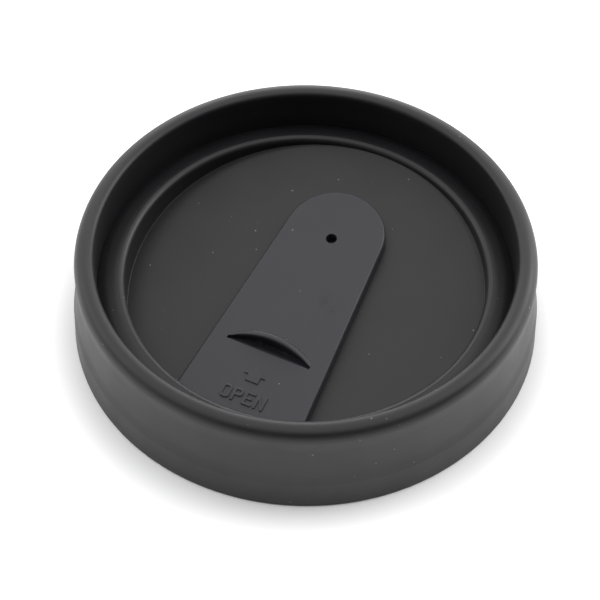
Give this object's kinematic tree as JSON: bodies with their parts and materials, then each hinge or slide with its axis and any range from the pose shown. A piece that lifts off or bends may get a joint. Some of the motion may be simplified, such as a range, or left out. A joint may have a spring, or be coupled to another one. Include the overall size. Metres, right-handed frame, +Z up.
{
  "type": "tumbler lid",
  "caption": "Round press-on lid with a tilted sunken floor and a sliding shutter that opens a drinking hole and a vent; a sealing ring sits on its plug.",
  "frame": {"origin": "centre of the ring that the lid stands on, at the bottom of its outer wall", "axes": "+Z up through the top of the lid; +Y the way the shutter slides open, towards the high side of the tilted floor; +X to the right with the drinking hole nearest"},
  "size_m": [0.0918, 0.092, 0.0212],
  "materials": {
    "lid": "satin moulded polypropylene",
    "shutter": "satin moulded polypropylene, slightly lighter",
    "seal": "matt moulded silicone"
  },
  "bodies": {
    "lid": {"lid_body": "lid", "seal_ring": "seal"},
    "shutter": {"slide_shutter": "shutter"}
  },
  "joints": [
    {"name": "shutter_slide", "type": "slide", "parent": "lid", "child": "shutter", "axis": [0, 0.9893, 0.1456], "range_m": [0, 0.0095]}
  ]
}
